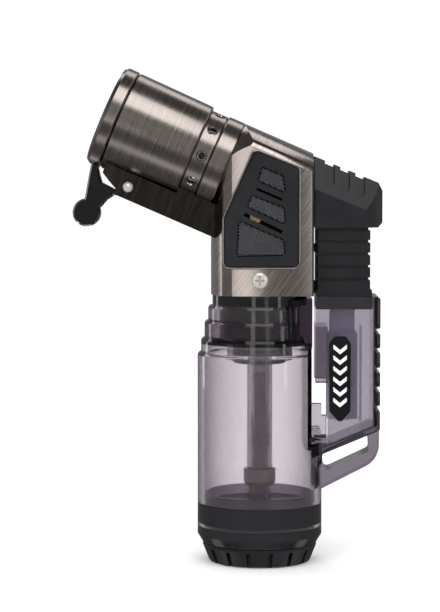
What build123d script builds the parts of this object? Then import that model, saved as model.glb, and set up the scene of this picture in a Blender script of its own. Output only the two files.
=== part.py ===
from build123d import *
import os
from math import atan2, cos, degrees, hypot, pi, radians, sin, sqrt, tan

# A pocket butane torch, in millimetres. The tank stands on its base with its axis on Z, the
# flame leaves toward -X and upward, and the handle with the trigger is on the +X side.
# Z = 0 is the surface that the torch stands on.

# ---- driving dimensions ----
TANK_R = 15.2            # outer radius of the fuel tank
TANK_WALL = 1.6
TANK_BASE_Z = 4.8        # lower edge of the tank
TANK_TOP_Z = 65.3        # top of the tank neck, where the head starts
TANK_CEILING_Z = 50.4    # top of the tank's wide bore
TANK_ROOF_Z = 53.2       # underside of the roof round the neck boss
SHOULDERS = [(TANK_R, 51.2), (14.35, 54.7), (13.5, 58.9), (12.6, 62.6), (11.55, 65.3)]
FLAT_X = 12.5            # flat cut along the tank beside the trigger box
FLAT_Z = 29.5

HEAD_X0, HEAD_X1 = -11.9, 12.9   # head housing, front and back faces
HEAD_Y = 11.2            # half the width of the head housing
HEAD_WALL = 1.3
HEAD_BOW = 18.8          # radius of the bowed front and top
HEAD_CORNER = 3.0

BARREL_TILT = 23.5       # degrees above horizontal
BARREL_X, BARREL_Z = -7.9, 96.1  # where the barrel axis leaves the head housing
COLLAR_R, COLLAR_END = 11.4, 4.4
VENT_R, VENT_END = 11.1, 8.65
SLEEVE_R0, SLEEVE_R1, SLEEVE_END = 12.0, 12.37, 28.2
LINER_R, LINER_BORE = 9.4, 8.8
VENT_COUNT, VENT_HOLE_R = 10, 1.05
LID_R, LID_START, LID_END = 12.47, 28.45, 32.0
KEEL_DROP, KEEL_Y = 16.8, 6.5    # fairing under the barrel
PIVOT_A, PIVOT_N = 19.9, -13.9   # lid pivot, along and across the barrel axis
PIVOT_R = 0.8
LEVER_Y = 2.0            # half the thickness of the lid lever

BOX_X0, BOX_X1, SPINE_X = 13.4, 27.2, 28.95   # trigger box and its ribbed spine
BOX_Y, BOX_WALL = 8.8, 1.4
BOX_TOP_Z = 65.0
RAIL_X1 = 16.35          # inner face of the box's two front rails
PIEZO_X = 20.0           # axis of the igniter cartridge
COLUMN_Y = 7.1
CAP_Y = 8.5
CAP_Z = 81.6

ROCKER_X, ROCKER_Z, ROCKER_ARM, ROCKER_TILT = 3.0, 72.4, 7.2, 15.3
SPACER_X, SPACER_Z = -1.0, 83.9
ELECTRODE_N = 7.4        # height of the spark electrode above the barrel axis

RUN = 0.05               # running clearance on a radius
FIT = 0.03               # clearance of a fitted joint within one body


# ---- helpers ----
def box(x0, x1, y0, y1, z0, z1):
    centre = ((x0 + x1) / 2, (y0 + y1) / 2, (z0 + z1) / 2)
    return Pos(*centre) * Box(x1 - x0, y1 - y0, z1 - z0)


def rod(r, z0, z1, x=0.0, y=0.0):
    return Pos(x, y, (z0 + z1) / 2) * Cylinder(r, z1 - z0)


def ring(r_out, r_in, z0, z1):
    return rod(r_out, z0, z1) - rod(r_in, z0 - 1, z1 + 1)


def cross_rod(r, x, z, y0, y1):
    """A round bar along Y."""
    return Pos(x, (y0 + y1) / 2, z) * (Rot(90, 0, 0) * Cylinder(r, y1 - y0))


def turned(points):
    """A solid of revolution about Z from (radius, z) points."""
    outline = make_face(Polyline(*[(r, 0, z) for r, z in points], close=True))
    return revolve(outline, axis=Axis.Z)


def side_plate(points, y0, y1, radius=0.0):
    """An outline in the XZ plane, given a thickness from y0 to y1."""
    flat = [(x, 0, z) for x, z in points]
    if radius:
        wire = FilletPolyline(*flat, radius=radius, close=True)
    else:
        wire = Polyline(*flat, close=True)
    plate = extrude(make_face(wire), amount=y1 - y0, dir=(0, 1, 0))
    return Pos(0, y0, 0) * plate


def mirrored(shape):
    """The same piece on the other side of the XZ plane."""
    return mirror(shape, about=Plane.XZ)


AXIS_X, AXIS_Z = -cos(radians(BARREL_TILT)), sin(radians(BARREL_TILT))
BARREL = Plane(origin=(BARREL_X, 0, BARREL_Z), x_dir=(AXIS_Z, 0, -AXIS_X), z_dir=(AXIS_X, 0, AXIS_Z))


def on_barrel(shape):
    """Local +Z runs along the barrel to the muzzle, and local +X is its upper side."""
    return BARREL.location * shape


def barrel_point(a, n):
    """World (x, z) of a point a along and n above the barrel axis."""
    return (BARREL_X + a * AXIS_X + n * AXIS_Z, BARREL_Z + a * AXIS_Z - n * AXIS_X)


def barrel_plate(points, y0, y1):
    """An outline in (along, above) barrel coordinates, given a thickness along Y."""
    return side_plate([barrel_point(a, n) for a, n in points], y0, y1)


def coil(r, wire, pitch_count, z0, z1):
    """A round-wire coil spring on the Z axis."""
    height = z1 - z0 - 2 * wire
    path = Helix(pitch=height / pitch_count, height=height, radius=r)
    section = Plane(origin=path @ 0, z_dir=path % 0) * Circle(wire)
    return Pos(0, 0, z0 + wire) * sweep(section, path=path, is_frenet=True)


# ---- tank ----
def fuel_tank():
    points = [(0, TANK_BASE_Z), (14.0, TANK_BASE_Z), (TANK_R, 6.8)]
    for (r, z), (r_next, _) in zip(SHOULDERS, SHOULDERS[1:]):
        points += [(r, z - 0.6), (r - 0.35, z), (r_next, z)]
    points += [(SHOULDERS[-1][0], TANK_TOP_Z), (0, TANK_TOP_Z)]
    body = turned(points)
    beyond_flat = box(FLAT_X, 20, -20, 20, FLAT_Z, 80)
    inner_flat = box(FLAT_X - TANK_WALL, 20, -20, 20, FLAT_Z - TANK_WALL, 80)
    bracket = box(7.4, 12.6, -9.4, 9.4, 52.7, 64.5)
    bracket = fillet(bracket.edges().filter_by(Axis.X), 0.5)
    cavity = rod(TANK_R - TANK_WALL, TANK_BASE_Z - 1, TANK_CEILING_Z)
    cavity += ring(12.8, 8.0, TANK_CEILING_Z - 0.1, TANK_ROOF_Z)
    cavity -= inner_flat + rod(8.0, 49.4, TANK_CEILING_Z + 0.1)
    neck = rod(6.65, 49, 56) + rod(9.9, 55, TANK_TOP_Z + 1)
    return (body - beyond_flat) + bracket - cavity - neck


def base_plug():
    skirt = TANK_R - TANK_WALL - FIT
    points = [(4.75, 2.25), (6.0, 2.25), (6.0, 3.2), (5.6, 3.2), (5.6, 4.0), (6.0, 4.0), (6.0, 4.8),
              (skirt, 4.8), (skirt, 8.9), (12.0, 8.9), (12.0, 10.3), (skirt, 10.3), (skirt, 14.2),
              (skirt - 0.3, 14.5), (2.85, 14.5), (2.85, 13.1), (1.4, 13.1), (1.4, 12.4), (4.75, 12.4)]
    return turned(points)


def torus_ring(major, minor, z):
    return Pos(0, 0, z) * Torus(major, minor)


def standpipe():
    return ring(3.1, 2.1, 20.9, 50.2)


def filter_coupling():
    points = [(2.83, 18.75), (3.5, 18.75), (3.9, 19.6), (3.9, 22.6), (3.13, 22.6), (3.13, 20.9),
              (1.6, 20.9), (1.6, 20.35), (2.83, 20.35)]
    return turned(points)


def neck_insert():
    lower = turned([(0, 48.6), (6.3, 48.6), (6.6, 48.9), (6.6, 51.2), (5.7, 51.2), (5.7, 52.4),
                    (6.6, 52.4), (6.6, 55), (9.85, 55), (9.85, 66), (0, 66)])
    plate = head_shape(HEAD_WALL + FIT) & box(-20, 20, -20, 20, TANK_TOP_Z + 0.02, 70.2)
    ears = box(1.1, 4.9, 3.3, 4.9, 70, 74.4) + box(1.1, 4.9, -4.9, -3.3, 70, 74.4)
    body = lower + plate + ears
    body -= rod(3.43, 51.97, 75)
    body -= rod(3.13, 48, 50.25) + rod(1.2, 50, 52.5)
    body -= box(4.0, 11.2, -2.9, 2.9, 68.5, 71)
    body -= cross_rod(PIVOT_R + FIT, ROCKER_X, ROCKER_Z, -6, 6)
    for y0, y1 in ((-12, -4.2), (4.2, 12)):
        body -= cross_rod(0.83, 0, 69.1, y0, y1)
    return body - rod(0.92, 66, 72, x=-4.7)


def gas_valve_body():
    points = [(0.6, 52.0), (3.4, 52.0), (3.4, 67.0), (2.2, 67.0), (2.2, 54.5), (0.6, 54.0)]
    return turned(points)


def valve_gland():
    return ring(2.17, 0.9, 64.4, 67.0)


def valve_outlet():
    """Brass nipple beside the valve that the gas hose pushes on to."""
    nipple = rod(0.9, 66.05, 73, x=-4.7) - rod(0.4, 66.6, 74, x=-4.7)
    return nipple


def valve_stem():
    return rod(0.85, 56.4, 73.9) + rod(2.05, 56.9, 57.7) + rod(1.3, 72.8, 73.9)


def valve_seal():
    return rod(1.5, 55.2, 56.4)


# ---- refill valve and flame dial in the base ----
def refill_valve_body():
    points = [(1.3, 2.4), (2.2, 2.4), (2.6, 2.9), (2.6, 11.9), (0.7, 11.9), (0.7, 11.2), (1.75, 11.2),
              (1.75, 4.4), (1.3, 4.1)]
    return turned(points)


def refill_stem():
    points = [(0.5, 2.5), (1.1, 2.5), (1.25, 2.8), (1.25, 6.4), (1.65, 6.4), (1.65, 7.2), (0, 7.2),
              (0, 6.4), (0.5, 6.0)]
    return turned(points)


def metering_sleeve():
    return ring(4.65, 2.6 + RUN, 2.25, 11.6)


def flame_dial():
    """Notched ring that turns on the hub of the base plug and sets the flame height."""
    points = [(3.6, 0), (11.7, 0), (12.4, 0.35), (13.9, 4.0), (13.9, 4.6), (6.08, 4.6), (6.08, 3.9),
              (5.7, 3.8), (5.7, 3.4), (6.08, 3.3), (6.08, 2.2), (3.6, 2.2)]
    body = turned(points)
    notch = box(11.9, 16, -0.55, 0.55, -1, 3.7)
    for index in range(16):
        body -= Rot(0, 0, 11.25 + 22.5 * index) * notch
    return body


# ---- trigger box ----
def box_notches():
    tall = []
    for z_top, z_bottom in ((57.4, 56.2), (52.7, 51.7), (48.0, 46.9), (43.4, 42.2), (38.8, 37.6)):
        tall.append(box(SPINE_X - 0.95, 31, -12, 12, z_bottom, z_top))
    return tall


def handle_web():
    """Thin web low in the gap beside the tank, with a thicker gusset at its foot."""
    web = side_plate([(12.55, 28.3), (16.3, 28.3), (16.3, 35.6), (15.1, 35.6), (15.1, 38.5),
                      (12.55, 38.5)], -1.5, 1.5)
    gusset = side_plate([(12.55, 28.0), (15.4, 28.0), (14.8, 32.7), (12.55, 32.7)], -3.5, 3.5, radius=0.8)
    return web + gusset


def handle_frame():
    """Clear box that guides the trigger, with the slanted foot that joins it to the tank."""
    outline = [(BOX_X0, BOX_TOP_Z), (SPINE_X, BOX_TOP_Z), (SPINE_X, 25.3), (11.0, 16.1), (11.0, 28.0),
               (BOX_X0, 28.9)]
    radii = [0.2, 0.8, 6.0, 0.5, 0.2, 0.2]
    flat = [(x, 0, z) for x, z in outline]
    body = extrude(make_face(FilletPolyline(*flat, radius=radii, close=True)), amount=BOX_Y, both=True)
    envelope = box(5, SPINE_X, -BOX_Y, BOX_Y, 10, 70)
    body &= chamfer(envelope.edges().filter_by(Axis.Z).sort_by(Axis.X)[-2:], 0.8)
    loop = side_plate([(15.1, 26.7), (26.4, 31.9), (26.7, 27.4), (15.6, 22.2)], -12, 12, radius=1.2)
    arm_sides = side_plate([(9, 24.6), (29.5, 33.2), (33, 20), (9, 10)], 4.5, 12)
    inner_y = BOX_Y - BOX_WALL
    roof_line = BOX_TOP_Z + 1
    inside_outline = [(RAIL_X1, roof_line), (BOX_X1, roof_line), (BOX_X1, 34.0), (RAIL_X1, 29.4)]
    inside = side_plate(inside_outline, -inner_y, inner_y)
    mouth = box(BOX_X0 - 1, RAIL_X1 + 0.1, -inner_y, inner_y, 57.8, 70)
    mouth += box(BOX_X0 - 1, RAIL_X1 + 0.1, -3.5, 3.5, 40, 60)
    window = box(BOX_X0 - 2, 16.4, -12, 12, 29.9, 44.4)
    body -= loop + arm_sides + mirrored(arm_sides) + inside + mouth + window
    for notch in box_notches():
        body -= notch
    spine_edges = body.edges().filter_by(Axis.Y).filter_by_position(Axis.X, SPINE_X - 0.01, SPINE_X + 0.01)
    body = fillet(spine_edges, 0.4)
    body += handle_web()
    body -= rod(TANK_R + FIT, 0, FLAT_Z)
    return body - box(0, FLAT_X + 0.05, -12, 12, FLAT_Z - 0.02, 40) - box(0, 13.1, -12, 12, 39, 70)


def piezo_body():
    case = box(PIEZO_X - 3.6, PIEZO_X + 3.6, -4.3, 4.3, 35.2, 56.0)
    case -= box(PIEZO_X - 3.0, PIEZO_X + 3.0, -3.5, 3.5, 38.0, 57)
    return case - rod(2.45, 34, 37.4, x=PIEZO_X)


def piezo_element():
    return rod(2.4, 34.8, 37.35, x=PIEZO_X)


def piezo_plunger():
    return box(PIEZO_X - 2.95, PIEZO_X + 2.95, -3.4, 3.4, 50.0, 66.0)


def trigger_spring():
    return Pos(PIEZO_X, 0, 0) * coil(2.5, 0.35, 9, 38.0, 50.0)


def trigger_column():
    """Ribbed slider between the cap and the box."""
    body = box(13.5, 26.0, -COLUMN_Y + 0.5, COLUMN_Y - 0.5, 62.0, CAP_Z)
    for index in range(5):
        top = 80.9 - 3.0 * index
        rib = box(13.5, 26.5, -COLUMN_Y, COLUMN_Y, top - 2.3, top)
        body += chamfer(rib.edges().filter_by(Axis.Z), 0.5)
    collar = box(13.5, 26.95, -COLUMN_Y, COLUMN_Y, 62.0, 66.6)
    body += collar
    body += box(13.0, 13.6, -2.2, 2.2, 65.6, 68.6)
    body += box(9.0, 13.6, -2.0, 2.0, 75.6, 77.6)
    body += box(15.6, 24.2, -4.5, 4.5, CAP_Z, 86.0)
    half = 2.95 + FIT
    return body - box(PIEZO_X - half, PIEZO_X + half, -3.4 - FIT, 3.4 + FIT, 61, 66 + FIT)


def cap_body(inset=0.0):
    """Thumb pad of the trigger: sloped top, bevelled sides and a blunt nose."""
    top = 98.7 - inset
    slope = tan(radians(22.4))
    nose = 29.5 - inset
    side = side_plate([(13.1, CAP_Z), (28.4, CAP_Z), (nose, 82.8), (nose, 90.4),
                       (28.4, top - slope * 15.3), (13.1, top)], -10, 10)
    half = CAP_Y - inset
    profile = [(-half, 70), (half, 70), (half, 90.9 - inset), (half - 2.6, top), (-half + 2.6, top),
               (-half, 90.9 - inset)]
    section = make_face(Polyline(*[(13.0, y, z) for y, z in profile], close=True))
    bevelled = extrude(section, amount=20, dir=(1, 0, -slope))
    plan = [(13.1, -half), (25.4, -half), (27.9, -half + 1.6), (nose, -half + 4.2), (nose, half - 4.2),
            (27.9, half - 1.6), (25.4, half), (13.1, half)]
    footprint = make_face(Polyline(*[(x, y, 70) for x, y in plan], close=True))
    return side & bevelled & extrude(footprint, amount=40)


def trigger_cap():
    body = cap_body()
    core = cap_body(inset=0.7)
    for index, z_low in enumerate((91.3, 90.0, 88.8)):
        x0 = 15.6 + 3.65 * index
        band = box(x0, x0 + 2.3, -12, 12, z_low + 1.15, 105)
        band += cross_rod(1.15, x0 + 1.15, z_low + 1.15, -12, 12)
        body -= band - core
    return body - box(15.6 - FIT, 24.2 + FIT, -4.5 - FIT, 4.5 + FIT, 80, 86.0 + FIT)


def trigger_contact():
    """Brass strip on the slider's tab that carries the spark to the head."""
    return box(8.6, 8.97, -1.4, 1.4, 75.7, 77.6)


def contact_strip():
    return box(24.3, 24.8, -2.0, 2.0, 34.4, 57.6)


def label_plate():
    """Blank plate with a rounded top and a pointed foot."""
    outline = [(16.7, 54.0), (17.9, 55.6), (20.6, 55.6), (21.8, 54.0), (21.8, 37.6), (19.25, 34.7),
               (16.7, 37.6)]
    return side_plate(outline, -BOX_Y - 0.45, -BOX_Y, radius=0.9)


# ---- head ----
def bowed_outline(apex, back, side, inset):
    """A section of the head: flat at back, with straight sides and a bowed end at apex."""
    bow = HEAD_BOW - inset
    depth = bow - sqrt(bow ** 2 - side ** 2)
    shoulder = apex + depth if apex < back else apex - depth
    outline = Polyline((shoulder, side), (back, side), (back, -side), (shoulder, -side))
    outline += ThreePointArc((shoulder, -side), (apex, 0), (shoulder, side))
    section = make_face(outline)
    corners = section.vertices().filter_by_position(Axis.X, shoulder - 0.01, shoulder + 0.01)
    return fillet(corners, HEAD_CORNER - inset * 0.6)


def head_shape(inset):
    """The bent head: an upright bow-fronted box that turns into the barrel's direction."""
    plan = bowed_outline(HEAD_X0 + inset, HEAD_X1 - inset, HEAD_Y - inset, inset)
    upright = Pos(0, 0, 60) * extrude(plan, amount=52)
    back = upright.edges().filter_by(Axis.Z).sort_by(Axis.X)[-2:]
    upright = fillet(back, 1.0)
    section = bowed_outline(11.35 - inset, -45, HEAD_Y - inset + 0.15, inset)
    tilted = on_barrel(Pos(0, 0, -50) * extrude(section, amount=60))
    mouth_r = 11.55 - inset
    cone = on_barrel(Pos(0, 0, -30) * Cone(mouth_r + 30, mouth_r, 60))
    below_axis = on_barrel(Pos(-50, 0, 0) * Box(100, 100, 200))
    return upright & tilted & (cone + below_axis)


def panel_outline(grow=0.0):
    g = grow
    return [(-1.2 - 0.3 * g, 100.1 + g), (9.25 + g, 95.8 + 0.5 * g), (9.25 + g, 72.2 - g),
            (-8.5 - g, 72.2 - g), (-8.5 - g, 83.8 + 0.2 * g)]


def head_housing():
    ground = box(-40, 40, -40, 40, 40, TANK_TOP_Z)
    past_end = on_barrel(Pos(0, 0, 30) * Box(100, 100, 60))
    shell = head_shape(0.0) - ground - past_end
    hollow_end = on_barrel(Pos(0, 0, 30 - 1.2) * Box(100, 100, 60))
    hollow = head_shape(HEAD_WALL) - hollow_end
    body = shell - hollow
    body -= on_barrel(rod(LINER_R + FIT, -5, 5))
    recess = side_plate(panel_outline(0.15), -HEAD_Y - 1, -HEAD_Y + 0.5, radius=1.5)
    window = side_plate([(-5.0, 86.2), (6.6, 81.2), (6.6, 77), (-5.0, 77)], -HEAD_Y - 1, -6, radius=1.0)
    window += side_plate([(-4.6, 86.4), (6.6, 80.2), (6.6, 90.2), (-1.6, 93.0)], -HEAD_Y - 1, -6, radius=1.0)
    screw_hole = cross_rod(1.05, 0, 69.1, -HEAD_Y - 1, -5)
    for cut in (recess, window, screw_hole):
        body -= cut
        body -= mirrored(cut)
    return body - box(11, 14, -2.3, 2.3, 71.4, 78.1)


def pad_outlines():
    top = [(0.4, 96.3), (5.6, 94.1), (6.35, 89.6), (-0.6, 92.7)]
    middle = [(-2.0, 89.6), (5.9, 86.5), (6.35, 82.1), (-3.2, 86.5)]
    low = [(-5.1, 83.6), (5.9, 78.8), (6.1, 75.0), (-5.6, 74.7)]
    return top, middle, low


def slot_bar(x0, z0, x1, z1, width, y0, y1):
    length, turn = hypot(x1 - x0, z1 - z0), degrees(atan2(z1 - z0, x1 - x0))
    bar = Box(length, y1 - y0, width)
    return Pos((x0 + x1) / 2, (y0 + y1) / 2, (z0 + z1) / 2) * (Rot(0, -turn, 0) * bar)


def grip_panel():
    """Black side panel on the front (-Y) face, with three sunk pads and two slots."""
    face = -HEAD_Y - 0.55
    body = side_plate(panel_outline(), face, -HEAD_Y + 0.47, radius=1.4)
    body = chamfer(body.faces().sort_by(Axis.Y)[0].edges(), 0.4)
    for points in pad_outlines():
        body -= side_plate(points, face - 1, face + 0.3, radius=0.7)
    body -= slot_bar(-0.8, 90.9, 5.3, 88.3, 0.6, face - 1, -9)
    return body - slot_bar(-3.7, 84.9, 5.3, 80.6, 0.85, face - 1, -9)


def housing_screw():
    """Pan-head screw along Y with a cross recess, on the front side."""
    head = cross_rod(1.95, 0, 69.1, -HEAD_Y - 1.25, -HEAD_Y)
    rim = head.faces().sort_by(Axis.Y)[0].edges()
    head = fillet(rim, 0.7)
    shank = cross_rod(0.8, 0, 69.1, -HEAD_Y, -4.6)
    cross = box(-1.1, 1.1, -20, -HEAD_Y - 0.6, 68.85, 69.35)
    cross += box(-0.25, 0.25, -20, -HEAD_Y - 0.6, 68.0, 70.2)
    return head + shank - cross


# ---- barrel ----
def burner_liner():
    body = ring(LINER_R, LINER_BORE, -4.5, 27.0)
    for angle in vent_angles():
        body -= vent_drill(angle, 0.9)
    flange = on_barrel(ring(9.7, LINER_BORE, -2.6, -1.25)) & head_shape(HEAD_WALL + FIT)
    return on_barrel(body) + flange


def vent_angles():
    return [18 + 360 / VENT_COUNT * index for index in range(VENT_COUNT)]


def vent_drill(angle, r):
    middle = (COLLAR_END + VENT_END) / 2
    drill = Pos(10, 0, middle) * (Rot(0, 90, 0) * Cylinder(r, 8))
    return Rot(0, 0, angle) * drill


def neck_collar():
    points = [(LINER_R + FIT, 0.02), (COLLAR_R - 0.3, 0.02), (COLLAR_R, 0.3), (COLLAR_R, COLLAR_END - 0.3),
              (COLLAR_R - 0.3, COLLAR_END), (LINER_R + FIT, COLLAR_END)]
    return on_barrel(turned(points))


def vent_ring():
    start = COLLAR_END + 0.02
    points = [(LINER_R + FIT, start), (VENT_R - 0.25, start), (VENT_R, start + 0.25),
              (VENT_R, VENT_END - 0.25), (VENT_R - 0.25, VENT_END), (LINER_R + FIT, VENT_END)]
    body = turned(points)
    middle = (COLLAR_END + VENT_END) / 2
    for angle in vent_angles():
        sink = Pos(VENT_R - 0.1, 0, middle) * (Rot(0, 90, 0) * Cone(VENT_HOLE_R, VENT_HOLE_R + 0.4, 0.6))
        body -= vent_drill(angle, VENT_HOLE_R)
        body -= Rot(0, 0, angle) * sink
    return on_barrel(body)


def barrel_sleeve():
    start = VENT_END + 0.02
    points = [(LINER_R + FIT, start), (SLEEVE_R0 - 0.35, start), (SLEEVE_R0, start + 0.35),
              (SLEEVE_R1, SLEEVE_END - 0.3), (SLEEVE_R1 - 0.3, SLEEVE_END), (10.9, SLEEVE_END),
              (10.9, 27.0), (LINER_R + FIT, 27.0), (LINER_R + FIT, 25.6), (10.5, 25.6), (10.5, 10.2),
              (LINER_R + FIT, 10.2)]
    hub_pocket = Pos(-12.3, 0, PIVOT_A) * Box(2.0, 5.0, 5.4)
    return on_barrel(turned(points) - hub_pocket)


def barrel_fairing():
    """Keel under the barrel that carries the lid's pivot in a slot at its front."""
    outline = [(-8, -5), (-8, -KEEL_DROP), (22.2, -KEEL_DROP), (22.5, -15.4), (24.7, -14.35), (26.9, -13.1),
               (26.9, -5)]
    keel = barrel_plate(outline, -KEEL_Y, KEEL_Y)
    edges = keel.faces().sort_by(Axis.Z)[0].edges().filter_by(Axis.Y, reverse=True)
    keel = chamfer(edges, 1.2)
    keel -= on_barrel(rod(COLLAR_R + FIT, -30, COLLAR_END + 0.01))
    keel -= on_barrel(rod(VENT_R + FIT, COLLAR_END, VENT_END + 0.01))
    keel -= on_barrel(rod(SLEEVE_R1 + FIT, VENT_END, 40))
    keel -= on_barrel(Pos(-14, 0, 23.4) * Box(12, 5.2, 14))
    keel -= head_shape(-FIT)
    x, z = barrel_point(PIVOT_A, PIVOT_N)
    return keel - cross_rod(PIVOT_R + FIT, x, z, -12, 12) - cross_rod(1.7, x, z, 2.0, 4.4)


def lid_pin():
    x, z = barrel_point(PIVOT_A, PIVOT_N)
    pin = cross_rod(PIVOT_R, x, z, -KEEL_Y - 0.1, KEEL_Y + 0.1)
    seat = KEEL_Y + FIT
    for side in (-1, 1):
        dome = Pos(x, side * (KEEL_Y - 0.4), z) * Sphere(1.3)
        near, far = sorted((side * seat, side * (KEEL_Y + 3)))
        pin += dome & box(x - 3, x + 3, near, far, z - 3, z + 3)
    return pin


def lid_spring():
    """Torsion spring beside the lever, on the lid pin."""
    x, z = barrel_point(PIVOT_A, PIVOT_N)
    turns = 4
    path = Helix(pitch=0.42, height=0.42 * turns, radius=1.15)
    section = Plane(origin=path @ 0, z_dir=path % 0) * Circle(0.19)
    wire = sweep(section, path=path, is_frenet=True)
    return Pos(x, 4.1, z) * (Rot(90, 0, 0) * wire)


def injector_jet():
    points = [(0.3, -1.0), (1.6, -1.0), (1.6, 1.5), (2.6, 1.5), (2.6, 4.0), (1.2, 5.2), (0.3, 5.2)]
    nipple = [(0.3, -3.4), (0.58, -3.4), (0.58, -1.0), (0.3, -1.0)]
    return on_barrel(turned(points) + turned(nipple))


def injector_plate():
    """Spoked disc that holds the jet in the middle of the liner."""
    body = ring(LINER_BORE - FIT, 2.63, 2.0, 3.4)
    for index in range(6):
        body -= Rot(0, 0, 60 * index + 30) * rod(1.6, 0, 5, x=5.4)
    return on_barrel(body - rod(0.75, 0, 5, x=ELECTRODE_N))


def burner_tube():
    points = [(4.2, 6.0), (4.8, 6.0), (4.8, 17.5), (6.3, 19.5), (6.3, 23.0), (5.8, 23.0), (5.8, 19.9),
              (4.2, 18.0)]
    return on_barrel(turned(points))


def flame_plate():
    body = rod(5.77, 20.4, 21.6)
    body -= rod(1.3, 20, 22)
    for count, radius in ((6, 2.6), (12, 4.5)):
        for index in range(count):
            angle = 2 * pi * index / count
            body -= rod(0.5, 20, 22, x=radius * cos(angle), y=radius * sin(angle))
    return on_barrel(body)


def heat_shield():
    body = ring(LINER_BORE - FIT, 6.33, 21.0, 22.0)
    for index in range(12):
        body -= Rot(0, 0, 30 * index) * rod(0.55, 20, 23, x=ELECTRODE_N)
    return on_barrel(body)


def electrode():
    return on_barrel(rod(0.4, 4.6, 25.0, x=ELECTRODE_N))


def electrode_insulator():
    sleeve = rod(1.0, 6.0, 18.4, x=ELECTRODE_N) - rod(0.43, 5, 26, x=ELECTRODE_N)
    return on_barrel(sleeve)


def lid_cap():
    points = [(0, LID_END - 0.6), (6, LID_END - 0.8), (11.3, LID_END - 1.2), (11.3, LID_START + 0.6),
              (10.9, LID_START + 0.6), (10.9, LID_START), (LID_R - 0.25, LID_START),
              (LID_R, LID_START + 0.25), (LID_R, LID_END - 0.9), (LID_R - 0.7, LID_END), (6, LID_END + 0.4),
              (0, LID_END + 0.6)]
    return on_barrel(turned(points))


def lid_liner():
    disc = rod(10.87, LID_START, LID_START + 0.58)
    return on_barrel(disc + rod(8.85, LID_START - 0.6, LID_START))


def lid_lever():
    """Keyhole-shaped lever that hangs from the lid and turns on the lid pin."""
    stem = [(30.9, -11.0), (30.2, -14.5), (28.9, -20.0), (28.6, -22.0), (24.9, -22.0), (24.2, -20.9),
            (23.6, -18.9), (22.6, -17.4), (20.6, -16.1), (20.8, -12.9), (22.3, -15.8), (26.4, -15.5),
            (27.5, -14.2), (28.6, -12.6), (28.6, -11.0)]
    body = barrel_plate(stem, -LEVER_Y, LEVER_Y)
    x, z = barrel_point(26.98, -23.7)
    body += cross_rod(3.4, x, z, -LEVER_Y, LEVER_Y)
    x, z = barrel_point(PIVOT_A, PIVOT_N)
    body += cross_rod(2.3, x, z, -LEVER_Y, LEVER_Y)
    faces = body.faces().sort_by(Axis.Y)
    body = chamfer(faces[0].edges() + faces[-1].edges(), 0.4)
    body -= cross_rod(PIVOT_R + RUN, x, z, -5, 5)
    lid_zone = rod(LID_R + 0.01, LID_START, LID_END + 3)
    barrel_zone = rod(SLEEVE_R1 + 0.3, 22.6, LID_START)
    return body - on_barrel(lid_zone) - on_barrel(barrel_zone)


# ---- gas hose and lead ----
def tube_along(path, r_out, r_in):
    start = Plane(origin=path @ 0, z_dir=path % 0)
    outer = sweep(start * Circle(r_out), path=path)
    if not r_in:
        return outer
    return outer - sweep(start * Circle(r_in), path=path)


def gas_hose():
    """Hose from the valve outlet up to the jet."""
    x = -4.7
    a = (BARREL_X - x) / -AXIS_X
    corner = (x, 0, BARREL_Z + a * AXIS_Z)
    end_x, end_z = barrel_point(-1.05, 0)
    bend = FilletPolyline((x, 0, 70.45), corner, (end_x, 0, end_z), radius=1.2)
    return tube_along(bend, 1.3, 0.92)


def ignition_lead():
    """Insulated wire from the contact blade to the electrode."""
    start = barrel_point(4.55, ELECTRODE_N)
    x = 7.6
    a = (BARREL_X + ELECTRODE_N * AXIS_Z - x) / -AXIS_X
    corner = barrel_point(a, ELECTRODE_N)
    path = FilletPolyline((start[0], 0, start[1]), (corner[0], 0, corner[1]), (x, 0, 80.55), radius=4.0)
    return tube_along(path, 0.55, 0)


def contact_block():
    return box(5.4, 8.0, -HEAD_Y + HEAD_WALL + FIT, HEAD_Y - HEAD_WALL - FIT, 77.9, 80.5)


def contact_blade():
    return box(8.02, 8.3, -1.3, 1.3, 75.2, 80.5)


def head_core():
    """Upright black plate inside the head that keeps the wire and the hose apart."""
    outline = [(-9.3, 70.25), (-2.6, 70.25), (-2.6, 75.7), (5.35, 75.7), (5.35, 80.6), (6.4, 80.6),
               (6.4, 93.0), (4.0, 95.0), (-3.0, 95.0), (-7.1, 84.9), (-9.3, 80.0)]
    return side_plate(outline, 2.2, 3.2) - cross_rod(1.3 + FIT, SPACER_X, SPACER_Z, 0, 5)


def panel_spacer():
    """Brass pillar between the two side panels."""
    return cross_rod(1.3, SPACER_X, SPACER_Z, -10.7, 10.7)


def valve_rocker():
    """See-saw between the trigger's tab and the valve stem."""
    turn = radians(ROCKER_TILT)

    def at(distance, offset=0.0):
        return (ROCKER_X + distance * cos(turn) - offset * sin(turn),
                ROCKER_Z + distance * sin(turn) + offset * cos(turn))

    corners = [at(-4.2, -0.65), at(ROCKER_ARM, -0.65), at(ROCKER_ARM, 0.65), at(-4.2, 0.65)]
    tip_x, tip_z = at(ROCKER_ARM)
    body = side_plate(corners, -2.6, 2.6)
    body += cross_rod(1.35, ROCKER_X, ROCKER_Z, -2.6, 2.6) + cross_rod(0.95, tip_x, tip_z, -2.6, 2.6)
    body -= cross_rod(PIVOT_R + RUN, ROCKER_X, ROCKER_Z, -5, 5)
    return body - box(-5, 1.3, -1.15, 1.15, 68, 76)


def rocker_pin():
    return cross_rod(PIVOT_R, ROCKER_X, ROCKER_Z, -4.9, 4.9)


def valve_spring():
    return coil(1.55, 0.25, 6, 57.75, 64.35)


def refill_spring():
    return coil(1.3, 0.18, 4, 7.25, 11.15)


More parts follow.
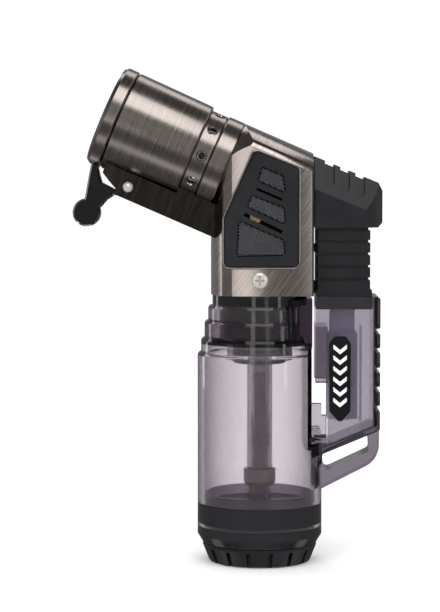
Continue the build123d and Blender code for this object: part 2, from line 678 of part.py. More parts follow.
NODES = {
    "fuel_tank": fuel_tank,
    "handle_frame": handle_frame,
    "base_plug": base_plug,
    "base_plug_oring": lambda: torus_ring(12.7, 0.62, 9.6),
    "standpipe": standpipe,
    "filter_coupling": filter_coupling,
    "feed_tube": lambda: ring(2.8, 1.6, 13.15, 20.3),
    "filter_wick": lambda: rod(1.5, 21.2, 46.0),
    "neck_insert": neck_insert,
    "neck_oring": lambda: torus_ring(6.15, 0.45, 51.8),
    "gas_valve_body": gas_valve_body,
    "valve_gland": valve_gland,
    "valve_outlet": valve_outlet,
    "valve_stem": valve_stem,
    "valve_seal": valve_seal,
    "valve_spring": valve_spring,
    "valve_rocker": valve_rocker,
    "rocker_pin": rocker_pin,
    "refill_valve_body": refill_valve_body,
    "refill_stem": refill_stem,
    "refill_spring": refill_spring,
    "metering_sleeve": metering_sleeve,
    "flame_dial": flame_dial,
    "piezo_body": piezo_body,
    "piezo_element": piezo_element,
    "piezo_plunger": piezo_plunger,
    "trigger_spring": trigger_spring,
    "trigger_column": trigger_column,
    "trigger_cap": trigger_cap,
    "trigger_contact": trigger_contact,
    "contact_strip": contact_strip,
    "head_housing": head_housing,
    "neck_collar": neck_collar,
    "vent_ring": vent_ring,
    "barrel_sleeve": barrel_sleeve,
    "barrel_fairing": barrel_fairing,
    "burner_liner": burner_liner,
    "injector_jet": injector_jet,
    "injector_plate": injector_plate,
    "gas_hose": gas_hose,
    "ignition_lead": ignition_lead,
    "contact_block": contact_block,
    "head_core": head_core,
    "panel_spacer": panel_spacer,
    "contact_blade": contact_blade,
    "burner_tube": burner_tube,
    "flame_plate": flame_plate,
    "heat_shield": heat_shield,
    "electrode": electrode,
    "electrode_insulator": electrode_insulator,
    "lid_pin": lid_pin,
    "lid_spring": lid_spring,
    "lid_cap": lid_cap,
    "lid_liner": lid_liner,
    "lid_lever": lid_lever,
}

PAIRS = {"grip_panel": grip_panel, "label_plate": label_plate}


def main():
    os.makedirs("parts", exist_ok=True)
    for name, make in NODES.items():
        export_step(make(), f"parts/{name}.step")
    for name, make in PAIRS.items():
        front = make()
        export_step(front, f"parts/{name}_front.step")
        export_step(mirrored(front), f"parts/{name}_back.step")
    screw = housing_screw()
    export_step(Compound([screw, mirrored(screw)]), "parts/housing_screws.step")


main()
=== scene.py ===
from math import cos, hypot, pi, radians, sin, tan

import bpy
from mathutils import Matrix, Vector


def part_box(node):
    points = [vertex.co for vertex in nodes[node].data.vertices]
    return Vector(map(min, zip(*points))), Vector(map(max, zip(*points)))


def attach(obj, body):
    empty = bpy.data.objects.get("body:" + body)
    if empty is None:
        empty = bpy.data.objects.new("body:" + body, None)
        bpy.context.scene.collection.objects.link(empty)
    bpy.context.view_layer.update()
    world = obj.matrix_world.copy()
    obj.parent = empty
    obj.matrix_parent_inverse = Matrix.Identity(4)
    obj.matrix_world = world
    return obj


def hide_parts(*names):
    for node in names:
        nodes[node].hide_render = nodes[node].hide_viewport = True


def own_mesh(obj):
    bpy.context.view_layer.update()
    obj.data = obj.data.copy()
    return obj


# A pocket butane torch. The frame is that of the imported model: the tank's axis is Z, the barrel
# points to -X and upward, and the trigger is on the +X side. Shapes of added pieces are in
# millimetres until new_piece scales them. The camera, the lights and the stage are in metres.

MM = 0.001
BARREL_TILT = radians(23.5)
BARREL_TURN = pi / 2 - BARREL_TILT   # from vertical to the barrel's axis

CAMERA_EYE = Vector((0.0, -0.485, 0.093))
CAMERA_TARGET = Vector((-0.0097, 0.0, 0.0623))
CAMERA_LENS = 117.2
CAMERA_SENSOR = 36.0

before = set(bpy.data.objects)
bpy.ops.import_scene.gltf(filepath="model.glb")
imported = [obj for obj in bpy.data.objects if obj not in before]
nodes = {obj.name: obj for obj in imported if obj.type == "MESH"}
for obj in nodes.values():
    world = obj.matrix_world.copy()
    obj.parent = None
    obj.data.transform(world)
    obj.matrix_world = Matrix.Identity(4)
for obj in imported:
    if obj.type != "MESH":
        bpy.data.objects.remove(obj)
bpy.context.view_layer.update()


def node_box(node):
    """Lowest and highest corner of a CAD node, in millimetres."""
    return [[round(value / MM, 3) for value in corner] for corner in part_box(node)]


def aim(obj, target):
    """Turn a camera or lamp toward the target."""
    obj.rotation_euler = (Vector(target) - obj.location).to_track_quat("-Z", "Y").to_euler()


def add_camera():
    data = bpy.data.cameras.new("camera")
    data.sensor_fit = "VERTICAL"
    data.sensor_height = CAMERA_SENSOR
    data.lens = CAMERA_LENS
    data.clip_start = 0.01
    camera = bpy.data.objects.new("camera", data)
    bpy.context.scene.collection.objects.link(camera)
    camera.location = CAMERA_EYE
    aim(camera, CAMERA_TARGET)
    bpy.context.scene.camera = camera


# ---------------------------------------------------------------- material helpers
class Mat:
    """A material with its Principled shader and a few shortcuts for nodes.

    Values given by name go to the sockets of that name, with _ for a space.
    """

    def __init__(self, name, **values):
        self.material = bpy.data.materials.new(name)
        self.material.use_nodes = True
        self.tree = self.material.node_tree
        self.shader = self.tree.nodes["Principled BSDF"]
        self.fill(self.shader, values)

    def fill(self, node, values):
        for key, value in values.items():
            node.inputs[key.replace("_", " ")].default_value = value

    def node(self, kind, **values):
        made = self.tree.nodes.new(kind)
        self.fill(made, values)
        return made

    def link(self, a, b):
        self.tree.links.new(a, b)

    def split(self, vector):
        """The x, y and z of a vector as outputs of one node."""
        made = self.node("ShaderNodeSeparateXYZ")
        self.link(vector, made.inputs[0])
        return made.outputs

    def position(self, tilt=0.0, scale=(1, 1, 1)):
        """Object coordinates turned by tilt about Y and then stretched."""
        coords = self.node("ShaderNodeTexCoord")
        turn = self.node("ShaderNodeVectorRotate", Angle=tilt)
        turn.rotation_type = "Y_AXIS"
        mapping = self.node("ShaderNodeMapping", Scale=scale)
        self.link(coords.outputs["Object"], turn.inputs["Vector"])
        self.link(turn.outputs["Vector"], mapping.inputs["Vector"])
        return mapping.outputs["Vector"]

    def noise(self, vector, scale, detail=4.0):
        made = self.node("ShaderNodeTexNoise", Scale=scale, Detail=detail, Roughness=0.55)
        self.link(vector, made.inputs["Vector"])
        return made.outputs["Fac"]

    def remap(self, value, low, high, from_low=0.3, from_high=0.7):
        made = self.node("ShaderNodeMapRange", From_Min=from_low, From_Max=from_high, To_Min=low,
                         To_Max=high)
        self.link(value, made.inputs["Value"])
        return made.outputs["Result"]

    def ramp(self, value, stops):
        """A colour ramp; stops are (place, colour) pairs from 0 to 1."""
        made = self.node("ShaderNodeValToRGB")
        elements = made.color_ramp.elements
        elements[0].position, elements[0].color = stops[0][0], (*stops[0][1], 1)
        elements[1].position, elements[1].color = stops[-1][0], (*stops[-1][1], 1)
        for place, colour in stops[1:-1]:
            elements.new(place).color = (*colour, 1)
        self.link(value, made.inputs["Fac"])
        return made.outputs["Color"]

    def calculate(self, operation, *values):
        """A Math node whose inputs are numbers or other nodes' outputs."""
        made = self.node("ShaderNodeMath")
        made.operation = operation
        for socket, value in zip(made.inputs, values):
            if isinstance(value, float):
                socket.default_value = value
            else:
                self.link(value, socket)
        return made.outputs[0]

    def bump(self, height, strength, distance):
        made = self.node("ShaderNodeBump", Strength=strength, Distance=distance)
        self.link(height, made.inputs["Height"])
        self.link(made.outputs["Normal"], self.shader.inputs["Normal"])
        return made

    def crown(self, middle, radius):
        """Bend the normals under the bump as if the face were part of a wide arch along X."""
        fine = self.shader.inputs["Normal"].links[0].from_node
        offset = self.calculate("SUBTRACT", self.split(self.position())["X"], middle)
        drop = self.calculate("MULTIPLY", self.calculate("MULTIPLY", offset, offset), -0.5 / radius)
        arch = self.bump(drop, 1.0, 1.0)
        self.link(arch.outputs["Normal"], fine.inputs["Normal"])
        self.link(fine.outputs["Normal"], self.shader.inputs["Normal"])

    def mottle(self, value, dark, light):
        """Base colour that drifts between dark and light with a noise."""
        self.link(self.ramp(value, [(0.3, dark), (0.7, light)]), self.shader.inputs["Base Color"])


# ---------------------------------------------------------------- materials
def brushed_metal(name, dark, light, tilt, brush, rough=(0.16, 0.3), strength=0.12, crown=None):
    """Plated metal with brush lines; brush holds the noise frequencies along local x, y and z.

    crown is the x of the highest line and the radius of a slight pressed-in crown along X.
    """
    mat = Mat(name, Metallic=1.0)
    lines = mat.noise(mat.position(tilt, brush), 1.0, detail=3.0)
    clouds = mat.noise(mat.position(), 110.0, detail=2.0)
    mat.link(mat.ramp(lines, [(0.32, dark), (0.68, light)]), mat.shader.inputs["Base Color"])
    wear = mat.calculate("MULTIPLY_ADD", clouds, 0.5, lines)
    mat.link(mat.remap(wear, *rough, 0.45, 1.05), mat.shader.inputs["Roughness"])
    mat.bump(lines, strength, 0.00002)
    if crown:
        mat.crown(*crown)
    return mat.material


def tinted_clear(name, absorb_colour, density, edge, rough=0.04, start=0.25, face=(1.0, 1.0, 1.0)):
    """Clear plastic that absorbs light with depth, with painted shade that darkens its colour toward its
    silhouette.

    It has the colour face where it is seen square on, up to start, and edge, a painted shade, at a grazing
    angle.
    """
    mat = Mat(name, Roughness=rough, IOR=1.49, Specular_IOR_Level=0.3, Transmission_Weight=1.0)
    # Painted shade: the base colour runs from face to edge as the surface turns away from the view.
    rim_shade_weight = mat.node("ShaderNodeLayerWeight", Blend=0.5)
    middle = tuple((a + b) / 2 for a, b in zip(face, edge))
    mat.link(mat.ramp(rim_shade_weight.outputs["Facing"], [(start, face), (start + 0.45, middle), (0.95, edge)]),
             mat.shader.inputs["Base Color"])
    absorb = mat.node("ShaderNodeVolumeAbsorption", Color=(*absorb_colour, 1.0), Density=density)
    mat.link(absorb.outputs["Volume"], mat.tree.nodes["Material Output"].inputs["Volume"])
    mat.bump(mat.noise(mat.position(), 160.0, detail=2.0), 0.05, 0.0001)
    return mat.material


def clear_tube(name):
    """Hazy drawn tube."""
    mat = Mat(name, Roughness=0.16, IOR=1.45, Transmission_Weight=0.85)
    haze = mat.noise(mat.position(scale=(1, 1, 0.3)), 900.0)
    mat.mottle(haze, (0.42, 0.38, 0.42), (0.56, 0.52, 0.55))
    return mat.material


def moulded(name, dark, light, rough=(0.34, 0.46), grain=9000.0, strength=0.03, gloss=0.5):
    """Opaque moulded stuff with a fine grain and slightly uneven colour and gloss."""
    mat = Mat(name, Specular_IOR_Level=gloss)
    fine = mat.noise(mat.position(), grain, detail=1.0)
    clouds = mat.noise(mat.position(), 120.0, detail=3.0)
    mat.mottle(clouds, dark, light)
    mat.link(mat.remap(clouds, *rough), mat.shader.inputs["Roughness"])
    mat.bump(fine, strength, 0.00001)
    return mat.material


def plain_metal(name, dark, light, rough, metallic=1.0):
    """Bright metal with faint stains."""
    mat = Mat(name, Metallic=metallic)
    stains = mat.noise(mat.position(), 400.0)
    mat.mottle(stains, dark, light)
    mat.link(mat.remap(stains, *rough), mat.shader.inputs["Roughness"])
    mat.bump(stains, 0.03, 0.00003)
    return mat.material


def chrome_with_painted_glints(name):
    """Chrome with painted light: near-black on the two faces square to Y, a painted dark reflection, and
    painted bright highlights on the bevels and edges.
    """
    mat = Mat(name, Metallic=1.0)
    normal = mat.split(mat.node("ShaderNodeTexCoord").outputs["Normal"])
    # Painted light by facing: painted highlights on the bevels and edges, painted dark reflection on the
    # faces square to Y.
    painted_glint_mask = mat.calculate("ABSOLUTE", normal["Y"])
    mat.link(mat.ramp(painted_glint_mask, [(0.0, (0.42, 0.40, 0.38)), (0.6, (0.95, 0.93, 0.92)),
                                   (0.86, (0.95, 0.93, 0.92)), (0.97, (0.075, 0.07, 0.07))]),
             mat.shader.inputs["Base Color"])
    smears = mat.noise(mat.position(), 220.0, detail=2.0)
    mat.link(mat.remap(smears, 0.05, 0.10), mat.shader.inputs["Roughness"])
    mat.bump(smears, 0.03, 0.00003)
    return mat.material


AROUND_BARREL = (40.0, 40.0, 7600.0)
DIAGONAL = (2600.0, 200.0, 90.0)
ALONG_KEEL = (90.0, 90.0, 1500.0)


def metals():
    return {
        "turned_gunmetal": brushed_metal(
            "turned_gunmetal", (0.345, 0.295, 0.27), (0.47, 0.42, 0.395), BARREL_TURN, AROUND_BARREL,
            strength=0.07),
        "brushed_gunmetal": brushed_metal(
            "brushed_gunmetal", (0.36, 0.30, 0.275), (0.50, 0.44, 0.41), radians(-35), DIAGONAL,
            rough=(0.15, 0.22), crown=(0.0058, 0.08)),
        # The fairing's gunmetal is a darker copy of the barrel's: painted shade for the dark that the
        # underside reflects.
        "keel_gunmetal_painted_shade": brushed_metal(
            "keel_gunmetal_painted_shade", (0.055, 0.045, 0.040), (0.085, 0.071, 0.063), BARREL_TURN, ALONG_KEEL,
            rough=(0.12, 0.2), strength=0.05),
        # The lid lever's chrome, with painted highlights and a painted dark reflection.
        "chrome": chrome_with_painted_glints("chrome_painted_glints"),
        "rim_metal": plain_metal("rim_metal", (0.44, 0.41, 0.39), (0.56, 0.53, 0.51), (0.16, 0.24)),
        "nickel": plain_metal(
            "nickel", (0.72, 0.68, 0.64), (0.82, 0.78, 0.74), (0.14, 0.22), metallic=0.55),
        "brass": plain_metal("turned_brass", (0.60, 0.42, 0.17), (0.72, 0.53, 0.25), (0.20, 0.32)),
        "steel": plain_metal("bright_steel", (0.50, 0.50, 0.50), (0.62, 0.62, 0.62), (0.18, 0.28)),
        "burnt_steel": plain_metal("heated_steel", (0.22, 0.17, 0.15), (0.45, 0.40, 0.38), (0.28, 0.42)),
        # The liner is paler and less metallic than steel so that the vent holes show bright: a painted
        # highlight in place of glints.
        "liner_steel_painted_bright": plain_metal(
            "liner_steel_painted_bright", (0.80, 0.78, 0.76), (0.90, 0.88, 0.86), (0.2, 0.3), metallic=0.3),
    }


def clear_plastics():
    return {
        # The colour after each density is the painted shade at that plastic's silhouette.
        "smoke": tinted_clear("smoke_plastic", (0.27, 0.17, 0.26), 270.0, (0.10, 0.08, 0.11), start=0.06),
        "smoke_frame": tinted_clear(
            "smoke_frame", (0.32, 0.28, 0.34), 225.0, (0.20, 0.18, 0.22), rough=0.07,
            face=(0.66, 0.63, 0.68)),
        "haze": tinted_clear(
            "plug_haze", (0.30, 0.24, 0.31), 300.0, (0.12, 0.10, 0.14), rough=0.2, face=(0.26, 0.22, 0.28)),
        "dark_clear": tinted_clear(
            "dark_clear_plastic", (0.30, 0.28, 0.36), 420.0, (0.4, 0.4, 0.45), rough=0.1),
        "tube": clear_tube("clear_tube"),
    }


def moulded_parts():
    return {
        "black": moulded(
            "black_plastic", (0.008, 0.008, 0.0105), (0.013, 0.013, 0.017), rough=(0.28, 0.32)),
        "gloss_black": moulded(
            "gloss_black", (0.004, 0.004, 0.005), (0.007, 0.007, 0.008), rough=(0.16, 0.24), gloss=0.3),
        "neck_tint": moulded(
            "neck_tint", (0.003, 0.003, 0.005), (0.006, 0.006, 0.009), rough=(0.22, 0.3), gloss=0.12),
        "lilac": moulded("lilac_plastic", (0.60, 0.59, 0.74), (0.70, 0.69, 0.86)),
        "beige": moulded("beige_plastic", (0.20, 0.17, 0.16), (0.28, 0.24, 0.22)),
        "white": moulded("white_print", (0.80, 0.80, 0.80), (0.88, 0.88, 0.88)),
        "knurl": moulded("knurled_black", (0.045, 0.045, 0.05), (0.065, 0.065, 0.07), rough=(0.3, 0.4)),
        "rubber": moulded(
            "nitrile_rubber", (0.008, 0.008, 0.008), (0.014, 0.014, 0.014), rough=(0.5, 0.62)),
        "ceramic": moulded(
            "glazed_ceramic", (0.70, 0.67, 0.62), (0.80, 0.77, 0.72), rough=(0.15, 0.25)),
        "hose": moulded("silicone_hose", (0.52, 0.50, 0.46), (0.62, 0.60, 0.55), rough=(0.3, 0.4)),
        "wick": moulded(
            "felt_wick", (0.62, 0.57, 0.60), (0.76, 0.71, 0.74), rough=(0.8, 0.9), grain=5000.0,
            strength=0.6),
        "wire": moulded("wire_sleeve", (0.22, 0.012, 0.010), (0.28, 0.018, 0.015)),
    }


FINISH = {
    "turned_gunmetal": ("neck_collar", "vent_ring", "barrel_sleeve", "lid_cap"),
    "brushed_gunmetal": ("head_housing",),
    "keel_gunmetal_painted_shade": ("barrel_fairing",),
    "chrome": ("lid_lever",),
    "nickel": ("housing_screws", "lid_pin"),
    "brass": ("valve_gland", "valve_outlet", "valve_stem", "refill_valve_body", "refill_stem",
              "metering_sleeve", "trigger_contact", "contact_blade", "injector_jet", "panel_spacer"),
    "steel": ("valve_spring", "valve_rocker", "rocker_pin", "refill_spring", "piezo_element",
              "trigger_spring", "contact_strip", "electrode", "lid_spring"),
    "liner_steel_painted_bright": ("burner_liner",),
    "burnt_steel": ("injector_plate", "burner_tube", "flame_plate", "heat_shield", "lid_liner"),
    "smoke": ("fuel_tank",),
    "smoke_frame": ("handle_frame",),
    "dark_clear": ("neck_insert",),
    "tube": ("standpipe", "feed_tube"),
    "black": ("base_plug", "flame_dial", "trigger_column", "trigger_cap", "grip_panel_front",
              "grip_panel_back", "contact_block", "head_core", "gas_valve_body"),
    "gloss_black": ("label_plate_front", "label_plate_back"),
    "lilac": ("piezo_body", "piezo_plunger"),
    "beige": ("filter_coupling",),
    "rubber": ("base_plug_oring", "neck_oring", "valve_seal"),
    "ceramic": ("electrode_insulator",),
    "hose": ("gas_hose",),
    "wick": ("filter_wick",),
    "wire": ("ignition_lead",),
}


def dress(obj, material):
    """Give a CAD node its material, in the slots that it has."""
    if obj.material_slots:
        for slot in obj.material_slots:
            slot.material = material
    else:
        obj.data.materials.append(material)


# ---------------------------------------------------------------- shape helpers
def new_piece(name, verts, faces, material, smooth=False):
    """A mesh piece of the torch's body, from points in millimetres."""
    mesh = bpy.data.meshes.new(name)
    mesh.from_pydata([tuple(Vector(v) * MM) for v in verts], [], faces)
    mesh.update()
    if smooth:
        mesh.shade_smooth()
    piece = bpy.data.objects.new(name, mesh)
    bpy.context.scene.collection.objects.link(piece)
    piece.data.materials.append(material)
    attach(piece, "torch_body")
    return piece


def ring_faces(rings, sides, closed=False, start=0):
    """Faces between neighbouring rings of points; closed joins the last ring to the first."""
    faces = []
    for ring in range(rings if closed else rings - 1):
        near = start + ring * sides
        far = start + (ring + 1) % rings * sides
        for side in range(sides):
            other = (side + 1) % sides
            faces.append((near + side, near + other, far + other, far + side))
    return faces


def rounded(points, radius, steps=6):
    """A closed outline in x and z with its corners rounded."""
    made = []
    count = len(points)
    for k in range(count):
        before, here, after = (Vector(points[(k + d) % count]) for d in (-1, 0, 1))
        to_before, to_after = (before - here).normalized(), (after - here).normalized()
        half_angle = to_before.angle(to_after) / 2
        reach = radius / tan(half_angle)
        centre = here + (to_before + to_after).normalized() * radius / sin(half_angle)
        first, last = here + to_before * reach, here + to_after * reach
        for step in range(steps + 1):
            spoke = (first - centre).lerp(last - centre, step / steps).normalized()
            made.append(centre + spoke * radius)
    return made


def depth_inside(x, z, polygon):
    """How far a point is inside a convex clockwise polygon; negative outside."""
    depths = []
    for (x0, z0), (x1, z1) in zip(polygon, polygon[1:] + polygon[:1]):
        depths.append(((z1 - z0) * (x - x0) - (x1 - x0) * (z - z0)) / hypot(x1 - x0, z1 - z0))
    return min(depths)


# ---------------------------------------------------------------- detail on the side panels
PAD_OUTLINES = (
    [(0.4, 96.3), (5.6, 94.1), (6.35, 89.6), (-0.6, 92.7)],
    [(-2.0, 89.6), (5.9, 86.5), (6.35, 82.1), (-3.2, 86.5)],
    [(-5.1, 83.6), (5.9, 78.8), (6.1, 75.0), (-5.6, 74.7)],
)
PAD_CORNER = 0.65
PAD_DEPTH = 0.3            # from the panel's face down to the floor of a sunk pad
KNURL_PLATE = 0.5          # thickness of the plate under the pyramids
KNURL_PITCH = 0.8
KNURL_MIDDLE_Z = 85.0
KNURL_GRID = range(-40, 41)
KNURL_MARGIN = 0.02        # between a pyramid's foot and the pad's edge
KNURL_LEAST = 0.05         # half the width of the smallest pyramid kept


def pyramid_feet():
    """The middle of each pyramid, in x and z, and half its width."""
    half = KNURL_PITCH / 2
    for outline in PAD_OUTLINES:
        for row in KNURL_GRID:
            for column in KNURL_GRID:
                x = (column + (row % 2) / 2) * KNURL_PITCH
                z = KNURL_MIDDLE_Z + row * half
                reach = min(half, depth_inside(x, z, outline) - KNURL_MARGIN)
                if reach >= KNURL_LEAST:
                    yield x, z, reach


def knurl(word, side, material):
    """Rows of small pyramids, on the diagonal, over the floor of each sunk pad."""
    verts, faces = [], []
    face_y = node_box("grip_panel_back")[1][1]
    floor_y = face_y - PAD_DEPTH
    for outline in PAD_OUTLINES:
        plate = rounded(outline, PAD_CORNER)
        start, count = len(verts), len(plate)
        verts += [(point.x, side * (floor_y - KNURL_PLATE), point.y) for point in plate]
        verts += [(point.x, side * floor_y, point.y) for point in plate]
        faces += ring_faces(2, count, start=start)
        faces.append(tuple(start + count + k for k in range(count)))
        faces.append(tuple(start + k for k in reversed(range(count))))
    for x, z, reach in pyramid_feet():
        start = len(verts)
        for dx, dz in ((reach, 0), (0, reach), (-reach, 0), (0, -reach)):
            verts.append((x + dx, side * floor_y, z + dz))
        verts.append((x, side * (floor_y + PAD_DEPTH * reach / (KNURL_PITCH / 2)), z))
        for corner in range(4):
            faces.append((start + corner, start + (corner + 1) % 4, start + 4))
        faces.append((start, start + 3, start + 2, start + 1))
    new_piece(f"pad_knurl_{word}", verts, faces, material)


RIM_GAP = 0.25             # from the panel's edge to the middle of the bead
RIM_RADIUS = 0.24
RIM_CORNER = 1.6
RIM_SIDES = 8


def panel_rim(word, side, material):
    """Bright bead in the seam round the black side panel."""
    (left, _, bottom), (right, _, _) = node_box("grip_panel_front")
    left, right, bottom = left - RIM_GAP, right + RIM_GAP, bottom - RIM_GAP
    head_face = node_box("head_housing")[1][1]
    outline = rounded([(-1.4, 100.4), (right, 95.95), (right, bottom), (left, bottom), (left, 83.85)],
                      RIM_CORNER)
    verts = []
    count = len(outline)
    for k, here in enumerate(outline):
        along = (outline[(k + 1) % count] - outline[k - 1]).normalized()
        outward = Vector((along.y, -along.x))
        for step in range(RIM_SIDES):
            angle = 2 * pi * step / RIM_SIDES
            flat = here + outward * RIM_RADIUS * cos(angle)
            verts.append((flat.x, side * (head_face + RIM_RADIUS * sin(angle)), flat.y))
    faces = ring_faces(count, RIM_SIDES, closed=True)
    new_piece(f"panel_rim_{word}", verts, faces, material, smooth=True)


# ---------------------------------------------------------------- marks on the label plates
MARK_COUNT = 6
MARK_PITCH = 2.55
MARK_HALF_WIDTH = 1.6
MARK_RISE = 1.3            # from a chevron's point up to the foot of its arms
MARK_STROKE = 1.0
MARK_SINK, MARK_PROUD = 0.05, 0.07
FIRST_MARK_DROP = 17.0     # from the plate's top to the point of the lowest chevron


def label_marks(word, side, material):
    """A column of blank chevrons raised on the label plate."""
    low, high = node_box("label_plate_back")
    middle = (low[0] + high[0]) / 2
    left, right = middle - MARK_HALF_WIDTH, middle + MARK_HALF_WIDTH
    near, far = side * (high[1] - MARK_SINK), side * (high[1] + MARK_PROUD)
    verts, faces = [], []
    for index in range(MARK_COUNT):
        point = high[2] - FIRST_MARK_DROP + MARK_PITCH * index
        arm = point + MARK_RISE
        outline = [(left, arm), (middle, point), (right, arm), (right, arm + MARK_STROKE),
                   (middle, point + MARK_STROKE), (left, arm + MARK_STROKE)]
        start, count = len(verts), len(outline)
        verts += [(x, near, z) for x, z in outline]
        verts += [(x, far, z) for x, z in outline]
        faces += ring_faces(2, count, start=start)
        for half in ((0, 1, 4, 5), (1, 2, 3, 4)):
            faces.append(tuple(start + count + k for k in half))
            faces.append(tuple(start + k for k in reversed(half)))
    new_piece(f"label_marks_{word}", verts, faces, material)


# ---------------------------------------------------------------- rings seen through the tank
# Name, material, slot and profile. A profile is closed and runs clockwise in (radius, z). The plug's
# skin reaches into the tank's wall, the neck's band lies in it, and the neck's skin lies just under
# the surface of the neck insert, so that plug and neck look dark through the clear plastic. The haze
# stands on the plug.
RINGS = (
    ("plug_skin", "black", "black_plastic",
     [(13.0, 14.45), (13.5, 14.45), (13.72, 14.3), (13.72, 9.6), (13.5, 9.4), (13.5, 8.8),
      (13.72, 8.6), (13.72, 4.9), (13.0, 4.9)]),
    ("plug_haze", "haze", "dark_clear", [(12.9, 16.9), (13.55, 16.9), (13.55, 14.5), (12.9, 14.5)]),
    ("neck_band", "neck_tint", "black_plastic",
     [(9.95, 65.25), (11.3, 65.25), (11.3, 62.8), (9.95, 62.8)]),
    ("neck_skin", "neck_tint", "black_plastic",
     [(9.55, 65.2), (9.8, 65.2), (9.8, 55.15), (9.55, 55.15)]),
)
RING_STEPS = 96


def tank_ring(name, profile, material):
    """A ring about the tank's axis."""
    verts = []
    for step in range(RING_STEPS):
        angle = 2 * pi * step / RING_STEPS
        verts += [(r * cos(angle), r * sin(angle), z) for r, z in profile]
    faces = ring_faces(RING_STEPS, len(profile), closed=True)
    new_piece(name, verts, faces, material)


# ---------------------------------------------------------------- springs
# A spring's node, its axis x, coil and wire radius, turns, and z of the pressed and the fixed end,
# with the joint that presses it and how far.
SPRINGS = (
    ("trigger_spring", 20.0, 2.5, 0.35, 9, 49.97, 38.0, "trigger_slide", 3.8),
    ("valve_spring", 0.0, 1.55, 0.25, 6, 57.75, 64.35, "valve_slide", 1.65),
    ("refill_spring", 0.0, 1.3, 0.18, 4, 7.25, 11.15, "refill_slide", 1.2),
)
WIRE_SIDES = 8
RINGS_PER_TURN = 28


def spring(node, x, radius, wire, turns, pressed_z, fixed_z, joint, travel, material):
    """A coil in place of the CAD spring."""
    low, high = sorted((pressed_z, fixed_z))
    last = turns * RINGS_PER_TURN
    verts = []
    for ring in range(last + 1):
        angle = 2 * pi * ring / RINGS_PER_TURN
        outward = Vector((cos(angle), sin(angle), 0.0))
        z = low + wire + (high - low - 2 * wire) * ring / last
        centre = Vector((x, 0.0, z)) + outward * radius
        for side in range(WIRE_SIDES):
            around = 2 * pi * side / WIRE_SIDES
            verts.append(centre + outward * wire * cos(around) + Vector((0.0, 0.0, wire * sin(around))))
    faces = ring_faces(last + 1, WIRE_SIDES)
    faces.append(tuple(reversed(range(WIRE_SIDES))))
    faces.append(tuple(last * WIRE_SIDES + side for side in range(WIRE_SIDES)))
    piece = new_piece(f"{node}_coil", verts, faces, material, smooth=True)
    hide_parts(node)
    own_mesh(piece)


def add_detail(materials):
    for side, word in ((-1, "front"), (1, "back")):
        knurl(word, side, materials["knurl"])
        label_marks(word, side, materials["white"])
        panel_rim(word, side, materials["rim_metal"])
    for name, finish, slot, profile in RINGS:
        tank_ring(name, profile, materials[finish])
    for row in SPRINGS:
        spring(*row, materials["steel"])


# ---------------------------------------------------------------- stage
STAGE_MIDDLE = (0.0, 0.0, 0.09)
WORLD_STRENGTH = 1.1
FLOOR_RADIUS, FLOOR_STEPS = 2.4, 64
TENT_RADIUS, TENT_TURNS, TENT_ROWS = 2.6, 48, 24
# Height in the tent, from 0 to 1, and its brightness there.
TENT_STOPS = [(0.0, 0.30), (0.04, 0.10), (0.10, 0.08), (0.12, 0.75), (0.16, 0.75), (0.19, 0.12),
              (0.35, 0.10), (0.46, 0.22), (0.56, 0.24), (0.64, 0.34), (0.72, 0.16), (1.0, 0.05)]
CARD_Y = -1.95
CARD_BOTTOM, CARD_TOP = -0.2, 0.4
# A card's name, its two ends along X and its glow.
CARDS = (("card_left", -0.66, -0.33, 1.9), ("card_right", 0.40, 0.74, 1.1))
# A lamp's name, place, size and power.
LAMPS = (
    ("softbox_front", (0.0, -0.75, 1.15), (1.1, 0.85), 6.5),
    ("softbox_back", (0.0, 0.85, 1.15), (1.1, 0.5), 2.2),
    ("strip_right", (0.95, -0.85, 0.30), (0.16, 0.8), 0.9),
    ("strip_left", (-1.0, 0.75, 0.30), (0.2, 0.8), 1.0),
)


def add_lamp(name, place, size, power):
    data = bpy.data.lights.new(name, "AREA")
    data.shape = "RECTANGLE"
    data.size, data.size_y = size
    data.energy = power
    lamp = bpy.data.objects.new(name, data)
    lamp.location = place
    aim(lamp, STAGE_MIDDLE)
    lamp.visible_camera = False
    lamp.visible_transmission = False
    bpy.context.scene.collection.objects.link(lamp)


def stage_object(name, verts, faces, material):
    """Part of the studio, not of the torch; its points are in metres."""
    mesh = bpy.data.meshes.new(name)
    mesh.from_pydata(verts, [], faces)
    made = bpy.data.objects.new(name, mesh)
    bpy.context.scene.collection.objects.link(made)
    made.data.materials.append(material)
    return made


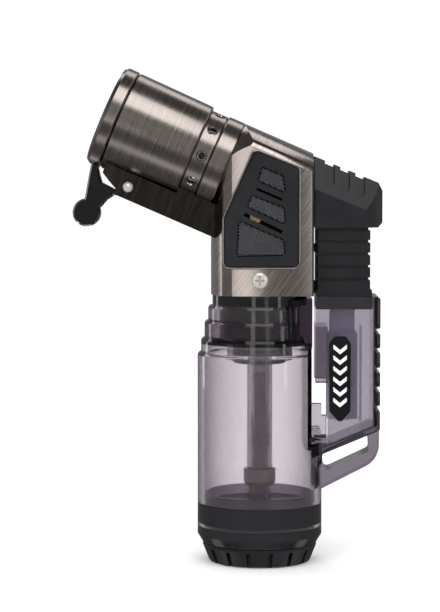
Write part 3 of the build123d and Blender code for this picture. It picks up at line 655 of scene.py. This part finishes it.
def add_card(name, verts, faces, stops):
    """A studio card seen only in reflections; stops give its brightness by height, from 0 to 1."""
    mat = Mat(name)
    mat.tree.nodes.remove(mat.shader)
    height = mat.split(mat.node("ShaderNodeTexCoord").outputs["Generated"])["Z"]
    glow = mat.node("ShaderNodeEmission")
    mat.link(mat.ramp(height, [(place, (shade,) * 3) for place, shade in stops]), glow.inputs["Color"])
    mat.link(glow.outputs["Emission"], mat.tree.nodes["Material Output"].inputs["Surface"])
    card = stage_object(name, verts, faces, mat.material)
    for ray in ("camera", "diffuse", "transmission", "volume_scatter", "shadow"):
        setattr(card, f"visible_{ray}", False)


def add_tent():
    """Round tent whose soft grey bands show in the metal."""
    verts = []
    for row in range(TENT_ROWS + 1):
        height = pi * row / TENT_ROWS - pi / 2
        for turn in range(TENT_TURNS):
            angle = 2 * pi * turn / TENT_TURNS
            verts.append((TENT_RADIUS * cos(height) * cos(angle), TENT_RADIUS * cos(height) * sin(angle),
                          TENT_RADIUS * sin(height) + STAGE_MIDDLE[2]))
    add_card("tent", verts, ring_faces(TENT_ROWS + 1, TENT_TURNS), TENT_STOPS)


def add_floor():
    paper = Mat("white_paper", Roughness=0.9)
    paper.mottle(paper.noise(paper.position(), 30.0), (0.955,) * 3, (0.97,) * 3)
    angles = [2 * pi * step / FLOOR_STEPS for step in range(FLOOR_STEPS)]
    ring = [(FLOOR_RADIUS * cos(angle), FLOOR_RADIUS * sin(angle), 0.0) for angle in angles]
    floor = stage_object("floor", ring, [list(range(FLOOR_STEPS))], paper.material)
    floor.visible_glossy = False


def add_stage():
    world = bpy.data.worlds.new("studio")
    world.use_nodes = True
    background = world.node_tree.nodes["Background"]
    background.inputs["Color"].default_value = (1.0, 1.0, 1.0, 1.0)
    background.inputs["Strength"].default_value = WORLD_STRENGTH
    bpy.context.scene.world = world
    add_floor()
    add_tent()
    for name, x0, x1, glow in CARDS:
        corners = [(x0, CARD_Y, CARD_BOTTOM), (x1, CARD_Y, CARD_BOTTOM), (x1, CARD_Y, CARD_TOP),
                   (x0, CARD_Y, CARD_TOP)]
        add_card(name, corners, [(0, 1, 2, 3)], [(0.0, glow), (1.0, glow)])
    for row in LAMPS:
        add_lamp(*row)


add_camera()
add_stage()
materials = {**metals(), **clear_plastics(), **moulded_parts()}
for finish, members in FINISH.items():
    for member in members:
        dress(nodes[member], materials[finish])
add_detail(materials)

bpy.context.scene.view_settings.view_transform = "Standard"
